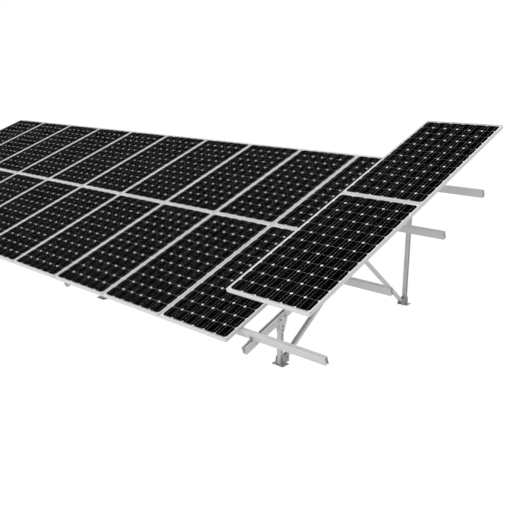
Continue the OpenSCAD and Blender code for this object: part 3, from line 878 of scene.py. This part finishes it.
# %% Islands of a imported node
STRAIGHT = Matrix.Identity(4)
TO_SLOPE = Matrix.Rotation(-TILT, 4, "X")
FROM_SLOPE = Matrix.Rotation(TILT, 4, "X")
TRIANGLE_JOIN = 1e-5


def merged_copy(name):
    """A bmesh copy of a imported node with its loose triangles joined."""
    bm = bmesh.new()
    bm.from_mesh(frame["nodes"][name].data)
    bmesh.ops.remove_doubles(bm, verts=bm.verts, dist=TRIANGLE_JOIN)
    return bm


def islands(bm):
    """Lists of vertices that hang together."""
    left = set(bm.verts)
    found = []
    while left:
        front = [left.pop()]
        group = list(front)
        while front:
            near = {e.other_vert(v) for v in front for e in v.link_edges} & left
            left -= near
            group += near
            front = list(near)
        found.append(group)
    return found


def island_boxes(name, turn):
    """Lowest and highest corner of each island, after a turn."""
    bm = merged_copy(name)
    boxes = []
    for group in islands(bm):
        points = [turn @ v.co for v in group]
        low = Vector(min(p[k] for p in points) for k in range(3))
        high = Vector(max(p[k] for p in points) for k in range(3))
        boxes.append((low, high))
    bm.free()
    return sorted(boxes, key=lambda pair: tuple(round(v, 4) for v in pair[0]))


# %% [markdown]
# A bolt is a stack of slices on its own axis. Its sizes are shares of the thread's
# diameter, because heads, nuts and washers of one series grow together. A cone with
# equal radii makes both the hexagons and the round slices.

# %% Slices of a bolt
WASHER_T = 0.002
CHAMFER = 0.12
LEVEL = 1e-6
WASHER_SIDES = 20
THREAD_SIDES = 12


def add_slice(bm, sides, low_r, high_r, low, high, place):
    """A closed slice with a number of sides between two heights; returns its vertices."""
    middle = place @ Matrix.Translation((0, 0, (low + high) / 2))
    return bmesh.ops.create_cone(
        bm, cap_ends=True, segments=sides, radius1=low_r, radius2=high_r,
        depth=high - low, matrix=middle,
    )["verts"]


def add_disc(bm, radius, low, high, place, sides=WASHER_SIDES):
    """A round slice between two heights on local Z."""
    add_slice(bm, sides, radius, radius, low, high, place)


def add_hexagon(bm, radius, low, high, place, both_ends):
    """A hexagon with chamfered ends between two heights on local Z."""
    made = add_slice(bm, 6, radius, radius, low, high, place)
    back = place.inverted()
    height = {v: (back @ v.co).z for v in made}
    ends = [v for v in made if both_ends or height[v] > (low + high) / 2]
    rims = [
        e for e in {e for v in ends for e in v.link_edges}
        if all(v in ends for v in e.verts)
        and abs(height[e.verts[0]] - height[e.verts[1]]) < LEVEL
    ]
    bevel(bm, rims, radius * CHAMFER, 1)


# %% [markdown]
# A through bolt has a head with a washer, a nut with a washer on the far side of what
# it clamps, and a thread that ends in a short point.

# %% One bolt
HEAD_H = 0.65
NUT_H = 0.8
TAIL_L = 1 / 3
HEXAGON_R = 0.95
WASHER_R = 1.05
POINT_L = 1 / 8
POINT_R = 0.38


def add_head(bm, d, top, place):
    """Head and washer with the top at one height; returns the height under the head."""
    under_head = top - HEAD_H * d
    add_hexagon(bm, HEXAGON_R * d, under_head, top, place, False)
    add_disc(bm, WASHER_R * d, under_head - WASHER_T, under_head, place)
    return under_head


def add_bolt(bm, d, length, place):
    """A bolt whose ends lie half its length above and below the place."""
    top, bottom = length / 2, -length / 2
    under_head = add_head(bm, d, top, place)
    grip_low = bottom + (TAIL_L + NUT_H) * d + WASHER_T
    nut_top = grip_low - WASHER_T
    add_disc(bm, WASHER_R * d, nut_top, grip_low, place)
    add_hexagon(bm, HEXAGON_R * d, nut_top - NUT_H * d, nut_top, place, True)
    thread_low = bottom + POINT_L * d
    add_disc(bm, d / 2, thread_low, under_head, place, THREAD_SIDES)
    add_slice(bm, THREAD_SIDES, POINT_R * d, d / 2, bottom, thread_low, place)


# %% [markdown]
# Three nodes hold through bolts of one size and one direction each: along the row in
# the frames, square to the slope's front walls in the splices, and straight down
# through the modules' flanges. The direction is given from nut to head.

# %% Through bolts
BOLT_SMOOTH = 30
BOLT_SETS = (
    ("frame_bolts", 0.012, STRAIGHT, STRAIGHT, (1, 0, 0)),
    ("splice_bolts", 0.010, TO_SLOPE, FROM_SLOPE, (0, -1, 0)),
    ("module_bolts", 0.008, TO_SLOPE, FROM_SLOPE, (0, 0, 1)),
)


def bolt_frame(direction, centre):
    """Matrix whose local Z is a bolt's direction from nut to head."""
    turn = Vector(direction).to_track_quat("Z", "Y").to_matrix().to_4x4()
    return Matrix.Translation(centre) @ turn


def dress_bolts(name, d, turn, back, direction):
    """Rebuild the bolts of one node that lie along one axis; returns the bmesh."""
    axis = max(range(3), key=lambda k: abs(direction[k]))
    bm = bmesh.new()
    count = 0
    for low, high in island_boxes(name, turn):
        size = high - low
        if max(range(3), key=lambda k: size[k]) == axis:
            add_bolt(bm, d, size[axis], back @ bolt_frame(direction, (low + high) / 2))
            count += 1
    print(name, "bolts along", direction, count)
    return bm


def finish_bolts(bm, name):
    """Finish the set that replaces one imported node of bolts."""
    piece_name = name.removesuffix("s") + "_set"
    finish_piece(bm, piece_name, BOLT_ZINC, [name], BOLT_SMOOTH)


for name, *sizes in BOLT_SETS:
    finish_bolts(dress_bolts(name, *sizes), name)

# %% [markdown]
# The cleats are held by two kinds of bolts. One kind goes through the purlins' front
# walls and is a plain through bolt. The other goes down into a rafter, where a flat nut
# lies under the lips of the channel. Only that nut is wide across the row, which tells
# the two kinds apart.

# %% Cleat bolts
CLEAT_BOLT_D = 0.010
CHANNEL_NUT = (0.038, 0.024, 0.008)
CHANNEL_NUT_LOW = 0.0033
CHANNEL_NUT_ROUND = 0.001
WIDE_ISLAND = 0.03


def add_channel_bolt(bm, d, height, place):
    """Head and washer on the cleat, and a flat nut that sits under the rafter's lips."""
    top, bottom = height / 2, -height / 2
    under_head = add_head(bm, d, top, place)
    add_disc(bm, d / 2, bottom, under_head, place, THREAD_SIDES)
    before = set(bm.verts)
    x, y, z = CHANNEL_NUT
    nut_low = bottom + CHANNEL_NUT_LOW
    add_bar(bm, (-x / 2, -y / 2, nut_low), (x / 2, y / 2, nut_low + z))
    edges = list({e for v in bm.verts if v not in before for e in v.link_edges})
    bevel(bm, edges, CHANNEL_NUT_ROUND, 2)
    bmesh.ops.transform(bm, matrix=place, verts=[v for v in bm.verts if v not in before])


def cleat_bolt_set():
    """Bolts through the purlins' front walls, and bolts down into the rafters."""
    bm = bmesh.new()
    for low, high in island_boxes("cleat_bolts", TO_SLOPE):
        middle = (low + high) / 2
        size = high - low
        if size.x > WIDE_ISLAND:
            place = FROM_SLOPE @ Matrix.Translation(middle)
            add_channel_bolt(bm, CLEAT_BOLT_D, size.z, place)
        else:
            add_bolt(bm, CLEAT_BOLT_D, size.y, FROM_SLOPE @ bolt_frame((0, -1, 0), middle))
    return bm


finish_bolts(cleat_bolt_set(), "cleat_bolts")

# %% [markdown]
# ## Soft edges on steel and aluminium
# Cold-formed sheet and extrusions never have knife edges, and the thin bright line on
# an edge is what tells the eye that it is metal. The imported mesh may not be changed,
# so each member is copied, its triangles are joined back into flat faces, and every
# sharp edge gets a small bevel. The copy then stands for the node.

# %% Bevelled copies
SHARP = math.radians(28)
FLAT = math.radians(0.5)
MEMBER_SMOOTH = 35
EDGE_ROUND = {"galvanised_steel": 0.0006, "dark_steel": 0.0006, "module_frame": 0.0004}


def soften(name, slot):
    """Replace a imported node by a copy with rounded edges."""
    bm = merged_copy(name)
    bmesh.ops.dissolve_limit(
        bm, angle_limit=FLAT, verts=bm.verts, edges=bm.edges, use_dissolve_boundaries=False
    )
    sharp = [e for e in bm.edges if len(e.link_faces) == 2 and e.calc_face_angle() > SHARP]
    bevel(bm, sharp, EDGE_ROUND[slot], 2, clamp_overlap=False, miter_outer="ARC")
    finish_piece(bm, name + "_formed", SLOT_FINISH[slot], [name], MEMBER_SMOOTH)


for name, slot in sorted(slot_of.items()):
    if slot in EDGE_ROUND:
        soften(name, slot)

# %% [markdown]
# ## Weld beads on the shoes
# The two ears of a shoe are welded to its base plate, and a weld shows as a rippled
# bead in the corner. A bead is a row of short overlapping drops: each is a squashed
# sphere, a little turned, laid at an even step along the outer side of an ear.

# %% Weld beads
BEAD_STEP = 0.0050
BEAD_R = 0.0045
BEAD_RADII = (BEAD_R, BEAD_R * 1.1, BEAD_R * 0.8)
BEAD_TURN = 0.5
BEAD_END = 0.004
BEAD_SMOOTH = 60
EAR_R = 0.040
EAR_T = 0.005
MEMBER_W = 0.050
BASE_L = 0.110
BASE_T = 0.008
BASE_BACK = 0.050


def add_bead(bm, x, start, end):
    """Drops along Y at one x, on top of the base plate."""
    count = int((end - start) / BEAD_STEP)
    shape = Matrix.Rotation(BEAD_TURN, 4, "X") @ Matrix.Diagonal((*BEAD_RADII, 1))
    for k in range(count + 1):
        y = start + k * (end - start) / count
        place = Matrix.Translation((x, y, BASE_T)) @ shape
        bmesh.ops.create_icosphere(bm, subdivisions=1, radius=1, matrix=place)


def weld_beads(name, sign):
    """Beads along both ears of every shoe of one node; sign is the way to its long end."""
    bm = bmesh.new()
    for low, high in island_boxes(name, STRAIGHT):
        middle = (low.x + high.x) / 2
        axis = low.y + BASE_BACK if sign > 0 else high.y - BASE_BACK
        plate_end = axis + sign * (BASE_L - BASE_BACK - BEAD_END)
        ends = sorted((axis - sign * EAR_R, plate_end))
        for side in (-1, 1):
            add_bead(bm, middle + side * (MEMBER_W / 2 + EAR_T), *ends)
    return bm


for name, sign in (("front_shoes", 1), ("rear_shoes", -1)):
    beads = weld_beads(name, sign)
    finish_piece(beads, name + "_welds", WELD_STEEL, smooth=BEAD_SMOOTH)

# %% [markdown]
# ## The floor
# The picture has a plain white ground. The floor is a white sheet that mixes its own
# lit colour with plain white for camera rays, so that the shadow stays but is faint.
# Mirrored rays get the same share of white.

# %% Floor
FLOOR_SIZE = 60.0
FLOOR_GREY = 0.9
FLOOR_SHADOW_SHARE = 0.10
FLOOR_WHITE = 1.08


def mirrored_ray(tree, path):
    """One where a ray comes from a reflection or through glass, and zero elsewhere."""
    glossy, through = path.outputs["Is Glossy Ray"], path.outputs["Is Transmission Ray"]
    return math_node(tree, "ADD", glossy, through, clamp=True)


def make_floor():
    """A large sheet on the ground."""
    bm = bmesh.new()
    bmesh.ops.create_grid(bm, x_segments=1, y_segments=1, size=FLOOR_SIZE)
    mesh = mesh_from(bm, "floor")
    floor = bpy.data.objects.new("floor", mesh)
    bpy.context.collection.objects.link(floor)
    material, tree, shader = new_material(
        "white floor", Base_Color=grey(FLOOR_GREY), Roughness=1.0, Specular_IOR_Level=0.0
    )
    white = add_node(tree, "ShaderNodeEmission", {"Color": grey(1.0), "Strength": FLOOR_WHITE})
    path = add_node(tree, "ShaderNodeLightPath")
    flat_share = 1 - FLOOR_SHADOW_SHARE
    seen = math_node(tree, "MULTIPLY", path.outputs["Is Camera Ray"], flat_share)
    mirrored = math_node(tree, "MULTIPLY", mirrored_ray(tree, path), flat_share)
    share = math_node(tree, "MAXIMUM", seen, mirrored)
    ends = {0: share, 1: shader.outputs[0], 2: white.outputs[0]}
    mixed = add_node(tree, "ShaderNodeMixShader", ends)
    tree.links.new(mixed.outputs[0], tree.nodes["Material Output"].inputs["Surface"])
    mesh.materials.append(material)


make_floor()
print("floor of", 2 * FLOOR_SIZE, "m")

# %% [markdown]
# ## World and lamps
# The world is white to the camera and to reflections, and a softer grey as a light.
# One broad sun from the front gives the module frames their brighter front, and a
# weaker one from behind keeps the steel readable when the view goes round the back.

# %% World and lamps
WORLD_LIGHT = 0.60
SUNS = (
    ("key", (-0.20, -0.85, 0.50), 1.20, 25),
    ("fill", (-0.45, 0.85, 0.20), 0.80, 35),
)


def make_world():
    """Plain white behind everything, and an even light of its own level."""
    world = bpy.data.worlds.new("white studio")
    world.use_nodes = True
    tree = world.node_tree
    path = add_node(tree, "ShaderNodeLightPath")
    seen = math_node(tree, "ADD", path.outputs["Is Camera Ray"], path.outputs["Is Glossy Ray"])
    seen = math_node(tree, "ADD", seen, path.outputs["Is Transmission Ray"], clamp=True)
    colour = mix_colour(tree, seen, grey(WORLD_LIGHT), grey(1.0))
    tree.links.new(colour, tree.nodes["Background"].inputs["Color"])
    bpy.context.scene.world = world


def make_sun(name, towards, strength, angle):
    """A sun lamp that shines from a direction, given as the way to the sun."""
    data = bpy.data.lights.new(name, "SUN")
    data.energy = strength
    data.angle = math.radians(angle)
    lamp = bpy.data.objects.new(name, data)
    lamp.rotation_mode = "QUATERNION"
    lamp.rotation_quaternion = Vector(towards).to_track_quat("Z", "Y")
    bpy.context.collection.objects.link(lamp)


make_world()
for sun in SUNS:
    make_sun(*sun)
print("suns", [sun[0] for sun in SUNS])
